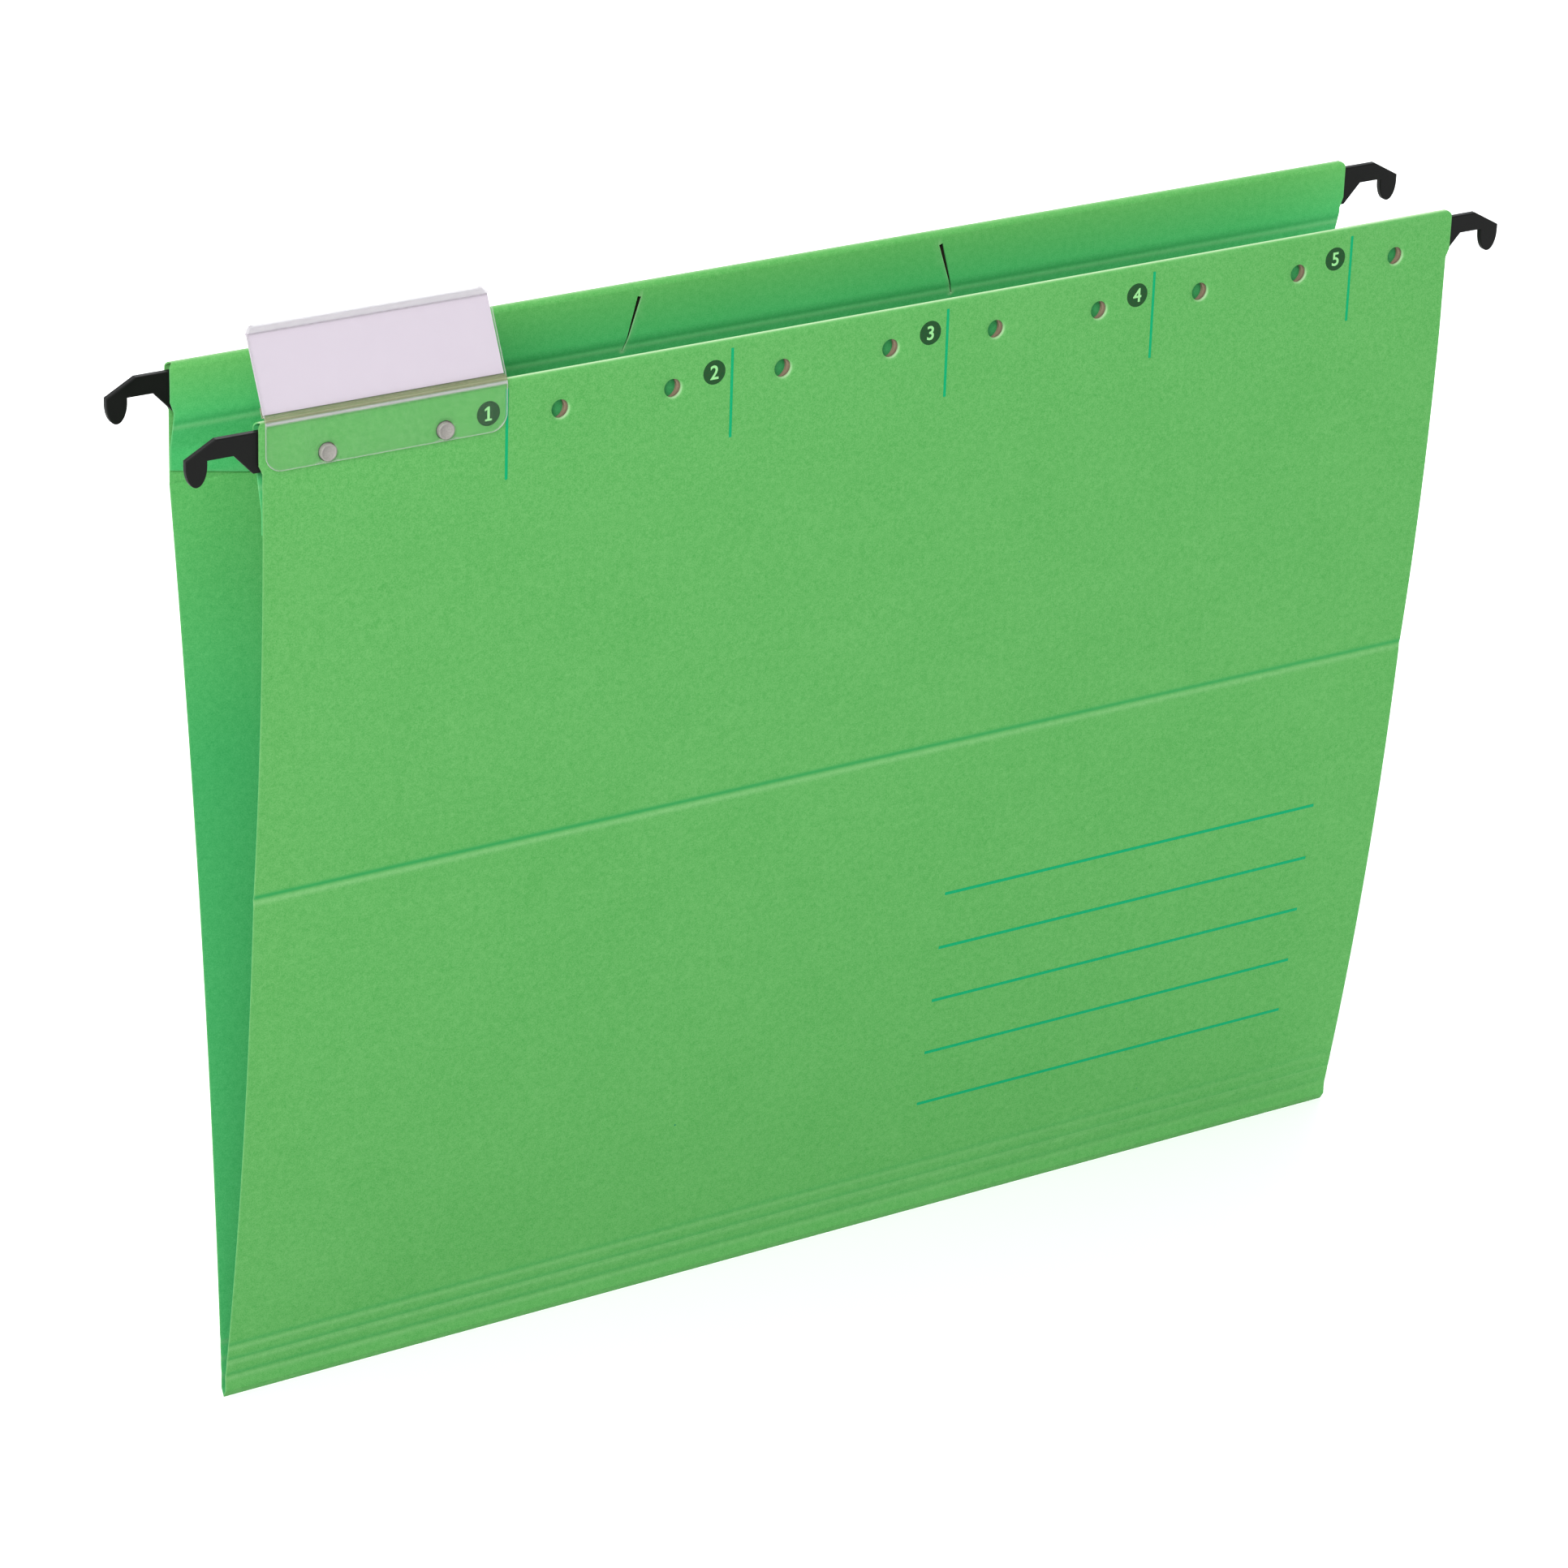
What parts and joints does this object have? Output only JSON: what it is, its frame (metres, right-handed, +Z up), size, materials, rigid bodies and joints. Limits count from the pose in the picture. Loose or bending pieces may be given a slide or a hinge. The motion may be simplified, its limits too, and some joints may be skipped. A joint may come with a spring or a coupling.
{
  "type": "hanging file folder",
  "caption": "Hanging file folder: V-shaped board pocket whose hemmed covers hang by hooked strips on file rails, with punched tab holes and a clear leaning index tab.",
  "frame": {"origin": "under the middle of the folder, level with the lowest line of its bottom fold", "axes": "+X along the hems to the right, +Y from the front cover to the back cover, +Z up as it hangs"},
  "size_m": [0.3524, 0.0456, 0.2665],
  "materials": {
    "board": "matt dyed board",
    "hem_glue": "dried glue film",
    "hanger_strip": "dark lacquered steel strip",
    "hook": "satin black moulding",
    "tab": "clear plastic",
    "label": "smooth white card"
  },
  "bodies": {
    "bottom_fold": {"bottom_fold": "board"},
    "front_lower": {"front_cover_lower": "board"},
    "front_upper": {"front_cover_upper": "board", "front_hem_flap": "board", "front_hem_glue": "hem_glue"},
    "back_cover": {"back_cover": "board", "back_hem_flap": "board", "back_hem_glue": "hem_glue"},
    "front_hanger": {"front_hanger_strip": "hanger_strip", "front_left_hook": "hook", "front_right_hook": "hook"},
    "back_hanger": {"back_hanger_strip": "hanger_strip", "back_left_hook": "hook", "back_right_hook": "hook"},
    "tab_skirt": {"tab_skirt": "tab"},
    "tab_window": {"tab_window": "tab"},
    "label": {"label_card": "label"}
  },
  "joints": [
    {"name": "front_cover_swing", "type": "hinge", "parent": "bottom_fold", "child": "front_lower", "pos_m": [0, -0.001, 0.0052], "axis": [1, 0, 0], "range_deg": [-4.4, 84]},
    {"name": "front_upper_fold", "type": "hinge", "parent": "front_lower", "child": "front_upper", "pos_m": [0, -0.01682, 0.134], "axis": [1, 0, 0], "range_deg": [0, 100]},
    {"name": "back_cover_swing", "type": "hinge", "parent": "bottom_fold", "child": "back_cover", "pos_m": [0, 0.001, 0.0052], "axis": [-1, 0, 0], "range_deg": [-4.4, 84]},
    {"name": "front_hanger_float", "type": "slide", "parent": "front_upper", "child": "front_hanger", "axis": [1, 0, 0], "range_m": [-0.00015, 0.00205]},
    {"name": "back_hanger_float", "type": "slide", "parent": "back_cover", "child": "back_hanger", "axis": [1, 0, 0], "range_m": [-0.002, 0.0002]},
    {"name": "tab_pull", "type": "slide", "parent": "front_upper", "child": "tab_skirt", "axis": [0, -1, 0], "range_m": [0, 0.012]},
    {"name": "tab_tilt", "type": "hinge", "parent": "tab_skirt", "child": "tab_window", "pos_m": [0, -0.0229, 0.2473], "axis": [1, 0, 0], "range_deg": [-10, 60], "stiffness_Nm_per_rad": 0.003},
    {"name": "label_slide", "type": "slide", "parent": "tab_window", "child": "label", "axis": [-1, 0, 0], "range_m": [0, 0.058]}
  ]
}
